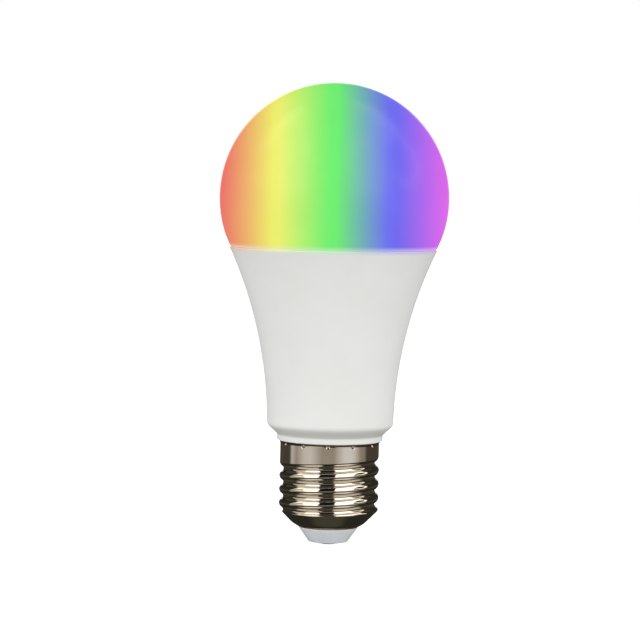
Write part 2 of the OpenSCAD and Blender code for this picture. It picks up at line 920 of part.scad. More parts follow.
module thread_shell() {
    top = skirt_z + embed;
    zs = [for (i = [0 : rings]) shell_low + (top - shell_low) * i / rings];
    count = len(zs) * sides;
    outer = [for (z = zs, k = [0 : sides - 1])
        let (a = 360 * k / sides, r = shell_r(a, z)) [r * cos(a), r * sin(a), z]];
    inner = [for (z = zs, k = [0 : sides - 1])
        let (a = 360 * k / sides, r = shell_r(a, z) - (in_skirt(z) ? sheet - 2 * join_in : sheet))
            [r * cos(a), r * sin(a), z]];
    outer_walls = [for (i = [0 : rings - 1], k = [0 : sides - 1])
        [i * sides + k, (i + 1) * sides + k, (i + 1) * sides + (k + 1) % sides, i * sides + (k + 1) % sides]];
    inner_walls = [for (f = outer_walls) [count + f[3], count + f[2], count + f[1], count + f[0]]];
    bottom = [for (k = [0 : sides - 1]) [k, (k + 1) % sides, count + (k + 1) % sides, count + k]];
    last = rings * sides;
    lid = [for (k = [0 : sides - 1])
        [last + (k + 1) % sides, last + k, count + last + k, count + last + (k + 1) % sides]];
    polyhedron(concat(outer, inner), concat(outer_walls, inner_walls, bottom, lid));
}

module skirt() {
    difference() {
        rotate_extrude()
            polygon([[skirt_r - sheet, skirt_z], [skirt_r, skirt_z], [skirt_r, rim_z],
                [skirt_r + rim_mid_out, (rim_z + cap_top) / 2], [skirt_r + rim_out, cap_top - 0.05],
                [skirt_r + rim_out, cap_top], [skirt_r + 0.1, cap_top], [skirt_r - sheet, rim_z + 0.1]]);
        ring_of(dimple_count, skirt_r + mark_out, first_mark)
            translate([0, 0, mark_z]) sphere(r = mark_r);
    }
}

module cap_shell() {
    color("tan") {
        skirt();
        thread_shell();
    }
}

module cap_insulator() {
    color("aliceblue")
        difference() {
            rotate_extrude()
                polygon([[0, insulator_z], [insulator_r - 0.15, insulator_z], [insulator_r, insulator_z + 0.15],
                    [shell_lip_r - 0.05, shell_low - 0.4], [shell_lip_r - 0.05, shell_low - 0.02],
                    [shell_lip_r - sheet - slip, shell_low - 0.02],
                    [shell_lip_r - sheet - slip, shell_low + 0.3], [8.4, 6.1], [9.3, 7],
                    [9.3, insulator_top], [7.4, insulator_top], [3.4, 6.6],
                    [3.2, insulator_top], [0, insulator_top]]);
            translate([0, 0, -1]) cylinder(r = rivet_r + 0.05, h = 12);
        }
}

module centre_contact() {
    color("tan")
        rotate_extrude()
            polygon(concat([[0, 0], [contact_flat_r, 0]], contact_dome,
                [[contact_r - 0.2, insulator_z - 0.07], [contact_r, insulator_z], [rivet_r, insulator_z],
                [rivet_r, rivet_top - 0.9], [rivet_r - 0.4, rivet_top], [0, rivet_top]]));
}

diffuser();
diffuser_adhesive();
housing();
heat_sink_cup();
heat_spreader_plate();
thermal_paste();
light_board();
board_screws();
cool_white_leds();
cool_white_phosphors();
warm_white_leds();
warm_white_phosphors();
colour_leds();
colour_led_windows();
led_driver_chips();
light_board_passives();
power_socket();
power_header();
power_pins();
wireless_board();
wireless_shield();
wireless_antenna();
wireless_solder();
driver_board();
bridge_rectifier();
power_controller();
output_diode();
driver_passives();
bulk_capacitor();
bulk_capacitor_sleeve();
output_capacitor();
output_capacitor_sleeve();
film_capacitor();
line_inductor();
inductor_sleeve();
surge_varistor();
fusible_resistor();
resistor_sleeve();
transformer_core();
transformer_bobbin();
transformer_winding();
component_leads();
solder_joints();
live_wire();
neutral_wire();
cap_shell();
cap_insulator();
centre_contact();
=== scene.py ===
"""Looks of the smart light bulb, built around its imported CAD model."""
import math

import bpy
import numpy as np
from mathutils import Matrix, Vector


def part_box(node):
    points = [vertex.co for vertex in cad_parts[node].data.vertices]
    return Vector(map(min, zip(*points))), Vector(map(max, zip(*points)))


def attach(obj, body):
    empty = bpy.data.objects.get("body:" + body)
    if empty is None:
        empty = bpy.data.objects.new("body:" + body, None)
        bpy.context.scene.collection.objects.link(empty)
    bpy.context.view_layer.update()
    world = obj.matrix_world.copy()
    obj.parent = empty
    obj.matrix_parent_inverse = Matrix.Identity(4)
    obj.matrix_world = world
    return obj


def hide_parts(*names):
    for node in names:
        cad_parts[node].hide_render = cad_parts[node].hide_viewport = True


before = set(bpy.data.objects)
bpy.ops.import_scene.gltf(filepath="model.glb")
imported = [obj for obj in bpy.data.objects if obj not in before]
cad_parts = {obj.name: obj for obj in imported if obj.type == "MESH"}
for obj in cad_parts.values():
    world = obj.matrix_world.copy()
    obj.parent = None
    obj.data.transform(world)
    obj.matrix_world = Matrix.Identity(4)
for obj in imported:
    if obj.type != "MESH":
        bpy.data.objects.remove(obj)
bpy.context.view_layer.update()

MM = 0.001
scene = bpy.context.scene

# Sizes in millimetres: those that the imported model's boxes give, then those that the part's source states
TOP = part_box("diffuser")[1].z / MM
DOME_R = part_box("diffuser")[1].y / MM
DOME_Z = TOP - DOME_R
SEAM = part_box("housing")[1].z / MM
LIP_R, LIP_Z = 13.9, 27.5
NECK_R, FLARE_R, FLARE_Z, WALL = 16.62, 112.7, 30.0, 1.3
SHOULDER_Z, SHOULDER, COVE, SLOPE = 32.25, 1.6, 0.9, 47.0
SEAM_GAP, DOME_WALL, FLANGE = 0.15, 1.2, 1.1
SPIGOT_IN, SPIGOT_R, SPIGOT_LOW, BEAD_Z = 23.8, 25.0, 75.65, 76.9
POCKET_R, POCKET_Z, BORE_R, TUBE_R, TUBE_Z, COLLAR_R, COLLAR_Z = 25.1, 75.5, 10.0, 11.49, 12.0, 12.5, 23.6
FUNNEL_Z = 34.4
DISPLAY_GAMMA = 2.2


# ---------------------------------------------------------------- node graphs

class Graph:
    """A material's node tree, with short ways to add nodes. Pattern coordinates are millimetres."""

    def __init__(self, name):
        self.mat = bpy.data.materials.new(name)
        self.mat.use_nodes = True
        self.nt = self.mat.node_tree
        self.bsdf = self.nt.nodes["Principled BSDF"]
        self._mm = None
        self._xyz = None

    def node(self, kind, **values):
        n = self.nt.nodes.new("ShaderNode" + kind)
        for key, value in values.items():
            setattr(n, key, value)
        return n

    def set(self, socket, value):
        if isinstance(value, bpy.types.NodeSocket):
            self.nt.links.new(value, socket)
        elif isinstance(value, (tuple, list)) and len(value) == 3 and socket.type == "RGBA":
            socket.default_value = (*value, 1)
        else:
            socket.default_value = value

    def mm(self):
        if self._mm is None:
            m = self.node("Mapping")
            m.inputs["Scale"].default_value = (1000, 1000, 1000)
            self.nt.links.new(self.node("TexCoord").outputs["Object"], m.inputs["Vector"])
            self._mm = m.outputs[0]
        return self._mm

    def xyz(self):
        if self._xyz is None:
            s = self.node("SeparateXYZ")
            self.nt.links.new(self.mm(), s.inputs[0])
            self._xyz = s.outputs
        return self._xyz

    def combine(self, x, y, z):
        c = self.node("CombineXYZ")
        for socket, value in zip(c.inputs, (x, y, z)):
            self.set(socket, value)
        return c.outputs[0]

    def math(self, operation, a, b=0.0, c=0.0):
        n = self.node("Math", operation=operation)
        for socket, value in zip(n.inputs, (a, b, c)):
            self.set(socket, value)
        return n.outputs[0]

    def ramp(self, value, stops):
        n = self.node("ValToRGB")
        while len(n.color_ramp.elements) < len(stops):
            n.color_ramp.elements.new(0.5)
        for e, (at, colour) in zip(n.color_ramp.elements, stops):
            e.position = at
            e.color = (*colour, 1) if isinstance(colour, (tuple, list)) else (colour,) * 3 + (1,)
        self.set(n.inputs[0], value)
        return n.outputs[0]

    def map(self, value, lo, hi, to_lo=0.0, to_hi=1.0, smooth=False):
        n = self.node("MapRange", interpolation_type="SMOOTHSTEP" if smooth else "LINEAR")
        for socket, v in zip(n.inputs, (value, lo, hi, to_lo, to_hi)):
            self.set(socket, v)
        return n.outputs[0]

    def noise(self, scale, detail=3.0, rough=0.55, vector=None):
        n = self.node("TexNoise")
        self.set(n.inputs["Vector"], vector or self.mm())
        for key, v in (("Scale", scale), ("Detail", detail), ("Roughness", rough)):
            n.inputs[key].default_value = v
        return n.outputs["Fac"]

    def cells(self, scale, vector):
        n = self.node("TexVoronoi")
        self.set(n.inputs["Vector"], vector)
        n.inputs["Scale"].default_value = scale
        return n.outputs["Distance"]

    def mix(self, factor, a, b, blend="MIX"):
        n = self.node("Mix", data_type="RGBA", blend_type=blend)
        self.set(n.inputs[0], factor)
        self.set(n.inputs[6], a)
        self.set(n.inputs[7], b)
        return n.outputs[2]

    def tint(self, colour, value, amount):
        """The colour, made lighter and darker by amount as value goes from 0 to 1."""
        dark = tuple(c * (1 - amount) for c in colour)
        light = tuple(min(1, c * (1 + amount)) for c in colour)
        return self.ramp(value, ((0.25, dark), (0.75, light)))

    def bump(self, height, distance_mm, strength=1.0, under=None):
        n = self.node("Bump")
        self.set(n.inputs["Height"], height)
        n.inputs["Distance"].default_value = distance_mm * MM
        n.inputs["Strength"].default_value = strength
        if under is not None:
            self.set(n.inputs["Normal"], under)
        return n.outputs[0]

    def radius(self):
        x, y, _ = self.xyz()
        return self.math("SQRT", self.math("ADD", self.math("MULTIPLY", x, x), self.math("MULTIPLY", y, y)))

    def turn(self):
        x, y, _ = self.xyz()
        return self.math("ARCTAN2", y, x)

    def finish(self, colour=None, roughness=None, metallic=None, normal=None, **plain):
        for name, value in (("Base Color", colour), ("Roughness", roughness), ("Metallic", metallic),
                            ("Normal", normal)):
            if value is not None:
                self.set(self.bsdf.inputs[name], value)
        for name, value in plain.items():
            self.bsdf.inputs[name.replace("_", " ")].default_value = value
        return self.mat


# ---------------------------------------------------------------- materials of the outer pieces

# What the lamp shows at each distance from its middle, in millimetres, as display colours from 0 to 255
RAINBOW = ((-29, (238, 116, 107)), (-16, (238, 237, 108)), (-14, (234, 240, 112)), (-1.5, (115, 240, 113)),
           (0.5, (110, 239, 114)), (9, (111, 155, 202)), (13.5, (110, 113, 240)), (16, (114, 107, 240)),
           (26, (203, 104, 238)), (30, (226, 104, 234)))


def glow_bands(g):
    """The colours that the lamp shows across its width, a little uneven, blended as display values."""
    across = g.math("MULTIPLY_ADD", g.math("SUBTRACT", g.noise(0.05, 2.0), 0.5), 0.8, g.xyz()[0])
    shown = g.ramp(g.map(across, -30, 30), [((at + 30) / 60, tuple(v / 255 for v in c)) for at, c in RAINBOW])
    gamma = g.node("Gamma")
    g.set(gamma.inputs["Color"], shown)
    gamma.inputs["Gamma"].default_value = DISPLAY_GAMMA
    return gamma.outputs[0]


def diffuser_look():
    """Frosted plastic, lit from inside, that pales where it meets the housing."""
    g = Graph("frosted_diffuser")
    cloud = g.map(g.noise(0.12, 3.0, 0.6), 0.3, 0.7, 0.97, 1.0)
    pale = g.map(g.xyz()[2], SEAM, SEAM + 1.3, 0.48, 0.0, smooth=True)
    bands = g.mix(pale, glow_bands(g), (0.78, 0.79, 0.76))
    lit = g.mix(1.0, bands, g.combine(cloud, cloud, cloud), "MULTIPLY")
    own = g.mix(1.0, bands, (0.10, 0.10, 0.10), "MULTIPLY")
    frost = g.bump(g.noise(2.6, 4.0, 0.6), 0.01, 0.6)
    mat = g.finish(own, g.map(g.noise(0.8, 3.0), 0.3, 0.7, 0.19, 0.27), 0.0, frost,
                   Emission_Strength=0.92, Specular_IOR_Level=0.16)
    g.set(g.bsdf.inputs["Emission Color"], lit)
    return mat


def housing_look():
    g = Graph("white_housing")
    cloud = g.noise(0.06, 3.0, 0.55)
    grain = g.noise(7.0, 4.0, 0.65)
    colour = g.mix(g.map(cloud, 0.35, 0.65), (0.835, 0.835, 0.825), (0.865, 0.865, 0.858))
    _, _, z = g.xyz()
    # painted shade: the cove between the lip and the shoulder, from 28.5 to 31.6 mm up, is darkened greenish
    # grey in the base colour
    under = g.math("MULTIPLY", g.map(z, 28.5, 29.4, smooth=True), g.map(z, 30.0, 31.6, 1.0, 0.0, smooth=True))
    colour = g.mix(under, colour, g.mix(1.0, colour, (0.78, 0.79, 0.74), "MULTIPLY"))
    # painted shade: the housing's colour is 2 per cent darker up to 52 mm, reaching full at 74 mm
    rise = g.map(z, 52, 74, 0.98, 1.0, smooth=True)
    colour = g.mix(1.0, colour, g.combine(rise, rise, rise), "MULTIPLY")
    # painted light: near the seam the lamp's colours are painted onto the housing, tinting its colour and
    # making its top edge glow
    painted_glow_spill = g.map(z, SEAM - 1.2, SEAM, 0.0, 0.42, smooth=True)
    bands = glow_bands(g)
    colour = g.mix(painted_glow_spill, colour, g.mix(1.0, colour, bands, "MULTIPLY"))
    fine = g.bump(grain, 0.012, 0.7)
    soft = g.bump(g.noise(0.11, 2.0), 0.10, 0.25, under=fine)
    mat = g.finish(colour, g.map(grain, 0.3, 0.7, 0.46, 0.56), 0.0, soft, Specular_IOR_Level=0.2,
                   Emission_Strength=0.30)
    # painted glow of the lamp's colours on the housing's top edge
    g.set(g.bsdf.inputs["Emission Color"], g.mix(painted_glow_spill, (0.0, 0.0, 0.0), bands))
    return mat


def nickel_look():
    g = Graph("nickel_cap")
    _, _, z = g.xyz()
    turn = g.math("MULTIPLY", g.turn(), 13.0)
    coarse_way = g.combine(g.math("MULTIPLY", turn, 0.10), g.math("MULTIPLY", z, 9.0), 0.0)
    fine_way = g.combine(g.math("MULTIPLY", turn, 0.25), g.math("MULTIPLY", z, 28.0), 4.0)
    lines = g.noise(1.0, 5.0, 0.7, vector=coarse_way)
    fine = g.noise(1.0, 3.0, 0.7, vector=fine_way)
    spots = g.map(g.noise(0.9, 5.0, 0.7), 0.58, 0.80, smooth=True)
    deep = g.map(g.radius(), 12.0, 12.6, 1.0, 0.0, smooth=True)
    plate = g.mix(g.map(g.noise(0.14, 3.0), 0.35, 0.65), (0.675, 0.63, 0.565), (0.725, 0.685, 0.62))
    plate = g.mix(g.math("MULTIPLY", deep, 0.12), plate, (0.30, 0.25, 0.19))
    plate = g.mix(g.math("MULTIPLY", spots, 0.10), plate, (0.28, 0.24, 0.20))
    rough = g.math("ADD", g.map(lines, 0.3, 0.7, 0.035, 0.09), g.math("MULTIPLY", spots, 0.10))
    # punch marks under the rim: the upper half is a paler, rougher patch, bare metal and a painted glint; the
    # lower half is painted dark, painted shade
    punch_glint_and_shade = g.math("MULTIPLY", g.map(g.radius(), 12.88, 12.97, 1.0, 0.0), g.map(z, 26.1, 26.2))
    upper = g.map(z, 26.55, 26.65)
    plate = g.mix(punch_glint_and_shade, plate, g.mix(upper, (0.25, 0.23, 0.19), (0.96, 0.94, 0.90)))
    rough = g.math("MULTIPLY_ADD", g.math("MULTIPLY", punch_glint_and_shade, upper), 0.45, rough)
    brushed = g.bump(g.math("ADD", lines, g.math("MULTIPLY", fine, 0.5)), 0.010, 0.35)
    return g.finish(plate, rough, 1.0, brushed)


def insulator_look():
    g = Graph("insulator_plastic")
    grain = g.noise(5.0, 3.0, 0.6)
    colour = g.mix(g.map(g.noise(0.3, 3.0), 0.35, 0.65), (0.68, 0.71, 0.76), (0.73, 0.76, 0.81))
    colour = g.mix(g.map(g.xyz()[2], 3.7, 4.0), colour, (0.74, 0.74, 0.66))
    return g.finish(colour, g.map(grain, 0.3, 0.7, 0.34, 0.46), 0.0, g.bump(grain, 0.012, 0.6),
                    Specular_IOR_Level=0.4)


def contact_look():
    g = Graph("contact_metal")
    rings = g.noise(1.0, 3.0, 0.6, vector=g.combine(g.math("MULTIPLY", g.radius(), 9.0), g.turn(), 0.0))
    scuff = g.map(g.noise(1.6, 5.0, 0.7), 0.5, 0.75, smooth=True)
    colour = g.mix(g.math("MULTIPLY", scuff, 0.5), (0.72, 0.69, 0.63), (0.42, 0.38, 0.32))
    return g.finish(colour, g.map(rings, 0.3, 0.7, 0.16, 0.32), 1.0, g.bump(rings, 0.010, 0.5))


# ---------------------------------------------------------------- materials of the inner pieces

def moulded(name, colour, rough=0.5, grain=5.0, depth=0.012, spread=0.06):
    """Moulded plastic: cloudy colour, an eroded fine grain, and gloss that follows it."""
    g = Graph(name)
    fine = g.noise(grain, 4.0, 0.6)
    tinted = g.tint(colour, g.noise(0.35, 3.0), spread)
    return g.finish(tinted, g.map(fine, 0.3, 0.7, rough - 0.06, rough + 0.06), 0.0, g.bump(fine, depth, 0.8),
                    Specular_IOR_Level=0.45)


def drawn_metal(name, colour, rough=0.3, around=True, line=7.0, tarnish=0.15):
    """Metal with drawing marks round the axis, or straight ones up it."""
    g = Graph(name)
    x, y, z = g.xyz()
    if around:
        along = g.combine(g.math("MULTIPLY", g.turn(), 2.0), g.math("MULTIPLY", z, line), g.radius())
    else:
        along = g.combine(g.math("MULTIPLY", x, line), g.math("MULTIPLY", y, line),
                          g.math("MULTIPLY", z, 0.3))
    marks = g.noise(1.0, 4.0, 0.65, vector=along)
    worn = g.map(g.noise(0.5, 4.0, 0.65), 0.45, 0.75, smooth=True)
    tinted = g.mix(g.math("MULTIPLY", worn, tarnish), g.tint(colour, marks, 0.05),
                   tuple(c * 0.45 for c in colour))
    return g.finish(tinted, g.map(marks, 0.3, 0.7, rough - 0.07, rough + 0.09), 1.0,
                    g.bump(marks, 0.010, 0.6))


def bright_metal(name, colour, rough=0.2):
    """Tinned or plated metal with a slightly lumpy, dulled surface."""
    g = Graph(name)
    lumps = g.noise(1.8, 3.0, 0.5)
    dull = g.noise(4.5, 4.0, 0.7)
    return g.finish(g.tint(colour, dull, 0.08), g.map(dull, 0.3, 0.7, rough - 0.05, rough + 0.12), 1.0,
                    g.bump(lumps, 0.03, 0.5))


def board(name, mask, copper, axes, pitch=1.3):
    """Solder mask over copper: straight tracks that show as raised paler lines, and small round vias."""
    g = Graph(name)
    c = g.xyz()
    u, v = c[axes[0]], c[axes[1]]
    column = g.math("FLOOR", g.math("DIVIDE", u, pitch * 4))
    row = g.math("FLOOR", g.math("DIVIDE", v, pitch * 3))
    pick = g.node("TexWhiteNoise", noise_dimensions="2D")
    g.set(pick.inputs["Vector"], g.combine(column, row, 0.0))
    across = g.math("GREATER_THAN", pick.outputs["Value"], 0.5)
    run = g.math("ADD", g.math("MULTIPLY", across, u), g.math("MULTIPLY", g.math("SUBTRACT", 1.0, across), v))
    wave = g.math("ABSOLUTE", g.math("SUBTRACT", g.math("FRACT", g.math("DIVIDE", run, pitch)), 0.5))
    track = g.map(wave, 0.30, 0.34, smooth=True)
    near = g.cells(0.42, g.combine(u, v, 0.0))
    via = g.map(near, 0.13, 0.16, 1.0, 0.0)
    hole = g.map(near, 0.05, 0.065, 1.0, 0.0)
    grain = g.noise(6.0, 3.0, 0.6)
    tinted = g.mix(g.math("MULTIPLY", track, 0.55), g.tint(mask, g.noise(0.4, 3.0), 0.08), copper)
    tinted = g.mix(via, tinted, (0.62, 0.60, 0.55))
    # painted shade: the open hole in each via is drawn near-black
    tinted = g.mix(hole, tinted, (0.02, 0.02, 0.02))
    raised = g.math("ADD", g.math("MULTIPLY", track, 0.7), g.math("MULTIPLY", via, 0.3))
    return g.finish(tinted, g.map(grain, 0.3, 0.7, 0.24, 0.36), g.math("MULTIPLY", via, 0.8),
                    g.bump(grain, 0.006, 0.5, under=g.bump(raised, 0.035, 1.0)))


def glazed(name, colour, rough=0.25, depth=0.05, spread=0.12):
    """Dipped or lacquered ceramic, with an uneven coat and fine specks."""
    g = Graph(name)
    coat = g.noise(0.7, 3.0, 0.5)
    specks = g.map(g.noise(9.0, 3.0, 0.6), 0.62, 0.75)
    tinted = g.mix(g.math("MULTIPLY", specks, 0.35), g.tint(colour, coat, spread),
                   tuple(c * 0.5 for c in colour))
    return g.finish(tinted, g.map(coat, 0.3, 0.7, rough - 0.06, rough + 0.1), 0.0, g.bump(coat, depth, 0.7))


def gel(name, colour, glow=0.0, rough=0.22):
    """Cast resin: fine suspended grains under a smooth, slightly sunken surface."""
    g = Graph(name)
    grains = g.noise(14.0, 3.0, 0.7)
    level = g.noise(1.1, 2.0)
    mat = g.finish(g.tint(colour, grains, 0.14), g.map(grains, 0.3, 0.7, rough - 0.05, rough + 0.06), 0.0,
                   g.bump(level, 0.04, 0.5), Coat_Weight=0.3, Emission_Strength=glow)
    g.set(g.bsdf.inputs["Emission Color"], g.tint(colour, grains, 0.14))
    return mat


def film(name, colour, band):
    """Shrunk printed film on a can: a pale stripe down one side, wrinkles where it turns in at the ends."""
    g = Graph(name)
    x, y, z = g.xyz()
    wrinkle = g.noise(1.0, 4.0, 0.6, vector=g.combine(g.math("MULTIPLY", x, 0.6), g.math("MULTIPLY", y, 0.6),
                                                       g.math("MULTIPLY", z, 3.5)))
    stripe = g.map(y, band, band + 0.25, 1.0, 0.0)
    dash = g.map(g.math("FRACT", g.math("MULTIPLY", z, 0.45)), 0.55, 0.60)
    tinted = g.mix(g.math("MULTIPLY", stripe, g.map(dash, 0, 1, 0.75, 0.5)), g.tint(colour, wrinkle, 0.08),
                   (0.70, 0.70, 0.72))
    return g.finish(tinted, g.map(wrinkle, 0.3, 0.7, 0.20, 0.32), 0.0, g.bump(wrinkle, 0.03, 0.6))


def woven(name, colour):
    """Braided sleeve: two families of threads that cross on the diagonal."""
    g = Graph(name)
    x, y, z = g.xyz()
    centre = [(a + b) / 2 / MM for a, b in zip(*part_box("resistor_sleeve"))]
    angle = g.math("ARCTAN2", g.math("SUBTRACT", y, centre[1]), g.math("SUBTRACT", x, centre[0]))
    a = g.math("SINE", g.math("ADD", g.math("MULTIPLY", angle, 12.0), g.math("MULTIPLY", z, 9.0)))
    b = g.math("SINE", g.math("SUBTRACT", g.math("MULTIPLY", angle, 12.0), g.math("MULTIPLY", z, 9.0)))
    over = g.math("MAXIMUM", g.math("ABSOLUTE", a), g.math("ABSOLUTE", b))
    fuzz = g.noise(12.0, 4.0, 0.7)
    height = g.math("ADD", over, g.math("MULTIPLY", fuzz, 0.25))
    return g.finish(g.tint(colour, over, 0.16), g.map(fuzz, 0.3, 0.7, 0.75, 0.92), 0.0,
                    g.bump(height, 0.12, 1.0), Sheen_Weight=0.3)


def taped(name, colour):
    """Turns of polyester tape: overlapping edges, faint ribs from the wire under them."""
    g = Graph(name)
    x, _, z = g.xyz()
    ribs = g.math("SINE", g.math("MULTIPLY", z, 26.0))
    wound = g.math("MULTIPLY_ADD", x, 0.05, g.math("MULTIPLY", z, 0.45))
    lap = g.map(g.math("FRACT", wound), 0.0, 0.08, smooth=True)
    cloud = g.noise(1.2, 3.0)
    height = g.math("ADD", g.math("MULTIPLY", ribs, 0.25), lap)
    tinted = g.mix(g.map(lap, 0, 1, 0.25, 0.0), g.tint(colour, cloud, 0.08), tuple(c * 0.55 for c in colour))
    return g.finish(tinted, g.map(cloud, 0.3, 0.7, 0.18, 0.28), 0.0, g.bump(height, 0.03, 0.8),
                    Coat_Weight=0.25)


GREEN = (0.035, 0.20, 0.085)
LOOKS = {
    "diffuser_adhesive": lambda: gel("clear_silicone", (0.80, 0.80, 0.78), rough=0.3),
    "heat_sink_cup": lambda: drawn_metal("drawn_aluminium", (0.78, 0.79, 0.80), 0.30),
    "heat_spreader_plate": lambda: drawn_metal("pressed_aluminium", (0.70, 0.71, 0.73), 0.36, line=4.0),
    "thermal_paste": lambda: moulded("thermal_compound", (0.58, 0.58, 0.57), 0.42, 2.4, 0.05),
    "light_board": lambda: board("white_light_board", (0.86, 0.86, 0.84), (0.93, 0.93, 0.91), (0, 1), 2.2),
    "board_screws": lambda: drawn_metal("zinc_screw", (0.70, 0.73, 0.78), 0.24, around=False, line=6.0),
    "cool_white_leds": lambda: moulded("led_body_cool", (0.88, 0.87, 0.83), 0.42, 8.0, 0.008, 0.03),
    "warm_white_leds": lambda: moulded("led_body_warm", (0.88, 0.86, 0.80), 0.42, 8.0, 0.008, 0.03),
    "colour_leds": lambda: moulded("led_body_colour", (0.87, 0.87, 0.86), 0.40, 8.0, 0.008, 0.03),
    "cool_white_phosphors": lambda: gel("cool_phosphor", (0.84, 0.78, 0.30)),
    "warm_white_phosphors": lambda: gel("warm_phosphor", (0.86, 0.48, 0.12)),
    "colour_led_windows": lambda: gel("window_resin", (0.74, 0.82, 0.84), rough=0.12),
    "led_driver_chips": lambda: moulded("chip_mould_light", (0.030, 0.030, 0.033), 0.52, 9.0, 0.012, 0.2),
    "light_board_passives": lambda: glazed("chip_parts_light", (0.42, 0.29, 0.19), 0.34),
    "power_socket": lambda: moulded("socket_nylon", (0.80, 0.78, 0.70), 0.44, 5.0, 0.010),
    "power_header": lambda: moulded("header_nylon", (0.028, 0.028, 0.028), 0.44, 5.0, 0.010, 0.2),
    "power_pins": lambda: bright_metal("gold_pins", (0.86, 0.66, 0.30), 0.20),
    "wireless_board": lambda: board("radio_board", (0.012, 0.075, 0.045), (0.03, 0.16, 0.09), (0, 2), 0.9),
    "wireless_shield": lambda: drawn_metal("shield_can_tin", (0.73, 0.73, 0.71), 0.28, False, 3.0),
    "wireless_antenna": lambda: bright_metal("antenna_gold", (0.84, 0.64, 0.30), 0.24),
    "wireless_solder": lambda: bright_metal("radio_solder", (0.74, 0.75, 0.76), 0.18),
    "driver_board": lambda: board("driver_pcb", GREEN, (0.09, 0.34, 0.14), (0, 2), 1.5),
    "bridge_rectifier": lambda: moulded("rectifier_mould", (0.030, 0.030, 0.032), 0.50, 9.0, 0.012, 0.2),
    "power_controller": lambda: moulded("controller_mould", (0.033, 0.033, 0.036), 0.54, 9.0, 0.012, 0.2),
    "output_diode": lambda: moulded("diode_mould", (0.045, 0.045, 0.047), 0.48, 8.0, 0.012, 0.2),
    "driver_passives": lambda: glazed("chip_parts_driver", (0.44, 0.31, 0.20), 0.34),
    "bulk_capacitor": lambda: drawn_metal("bulk_can", (0.80, 0.80, 0.80), 0.24, line=9.0),
    "bulk_capacitor_sleeve": lambda: film("bulk_film", (0.035, 0.055, 0.075), -5.9),
    "output_capacitor": lambda: drawn_metal("output_can", (0.80, 0.80, 0.80), 0.24, line=9.0),
    "output_capacitor_sleeve": lambda: film("output_film", (0.022, 0.040, 0.19), -3.9),
    "film_capacitor": lambda: glazed("film_capacitor_resin", (0.48, 0.055, 0.040), 0.26),
    "line_inductor": lambda: glazed("inductor_ferrite", (0.085, 0.085, 0.09), 0.48, 0.03),
    "inductor_sleeve": lambda: moulded("shrink_tube", (0.022, 0.022, 0.022), 0.36, 3.0, 0.02, 0.2),
    "surge_varistor": lambda: glazed("varistor_lacquer", (0.035, 0.13, 0.46), 0.26),
    "fusible_resistor": lambda: glazed("resistor_lacquer", (0.50, 0.47, 0.30), 0.34),
    "resistor_sleeve": lambda: woven("glass_braid", (0.82, 0.81, 0.77)),
    "transformer_core": lambda: glazed("transformer_ferrite", (0.075, 0.075, 0.08), 0.50, 0.03),
    "transformer_bobbin": lambda: moulded("bobbin_phenolic", (0.040, 0.038, 0.036), 0.44, 4.0, 0.014, 0.2),
    "transformer_winding": lambda: taped("winding_tape", (0.86, 0.66, 0.08)),
    "component_leads": lambda: bright_metal("tinned_leads", (0.75, 0.75, 0.74), 0.22),
    "solder_joints": lambda: bright_metal("solder", (0.74, 0.75, 0.77), 0.16),
    "live_wire": lambda: moulded("red_insulation", (0.52, 0.035, 0.030), 0.34, 3.0, 0.012),
    "neutral_wire": lambda: bright_metal("return_wire", (0.72, 0.72, 0.71), 0.24),
}


# ---------------------------------------------------------------- meshes

def arc(cx, cz, r, a0, a1, n):
    """Points on a circle in the (radius, height) plane, from angle a0 to a1 in degrees."""
    return [(cx + r * math.cos(math.radians(a0 + (a1 - a0) * i / n)),
             cz + r * math.sin(math.radians(a0 + (a1 - a0) * i / n))) for i in range(n + 1)]


def rounded(corners, steps=5):
    """A closed outline whose corners (radius, height, fillet) are filleted."""
    out = []
    for i, corner in enumerate(corners):
        p = Vector(corner[:2])
        fillet = corner[2] if len(corner) > 2 else 0
        if not fillet:
            out.append(tuple(p))
            continue
        a = (Vector(corners[i - 1][:2]) - p).normalized()
        b = (Vector(corners[(i + 1) % len(corners)][:2]) - p).normalized()
        half = a.angle(b) / 2
        reach = fillet / math.tan(half)
        centre = p + (a + b).normalized() * (fillet / math.sin(half))
        start, end = p + a * reach - centre, p + b * reach - centre
        sweep = math.atan2(start.x * end.y - start.y * end.x, start.dot(end))
        for k in range(steps + 1):
            t = sweep * k / steps
            out.append((centre.x + start.x * math.cos(t) - start.y * math.sin(t),
                        centre.y + start.x * math.sin(t) + start.y * math.cos(t)))
    return out


def new_piece(name, vertices, faces, material, replaced, slot, sharp=38):
    mesh = bpy.data.meshes.new(name)
    mesh.from_pydata([tuple(v) for v in vertices], [], faces)
    mesh.validate()
    mesh.polygons.foreach_set("use_smooth", [True] * len(mesh.polygons))
    mesh.set_sharp_from_angle(angle=math.radians(sharp))
    mesh.materials.append(material)
    o = bpy.data.objects.new(name, mesh)
    scene.collection.objects.link(o)
    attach(o, "root")
    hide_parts(replaced)
    return o


def lathe(name, outline, turns, **kw):
    """A closed solid of revolution. The outline is a closed loop of (radius, height) in millimetres,
    anticlockwise with the axis on its left, and a point on the axis becomes one vertex."""
    vertices, rings = [], []
    for r, z in outline:
        if r < 1e-6:
            rings.append([len(vertices)] * turns)
            vertices.append((0, 0, z * MM))
        else:
            rings.append(list(range(len(vertices), len(vertices) + turns)))
            for k in range(turns):
                a = 2 * math.pi * k / turns
                vertices.append((r * math.cos(a) * MM, r * math.sin(a) * MM, z * MM))
    faces = []
    for i in range(len(rings)):
        a, b = rings[i], rings[(i + 1) % len(rings)]
        for k in range(turns):
            n = (k + 1) % turns
            face = [a[k], a[n], b[n], b[k]]
            face = [v for j, v in enumerate(face) if v not in face[:j]]
            if len(face) > 2:
                faces.append(face)
    return new_piece(name, vertices, faces, **kw)


def flare(z, inset=0.0):
    return NECK_R + FLARE_R - math.sqrt((FLARE_R + inset) ** 2 - (z - FLARE_Z) ** 2)


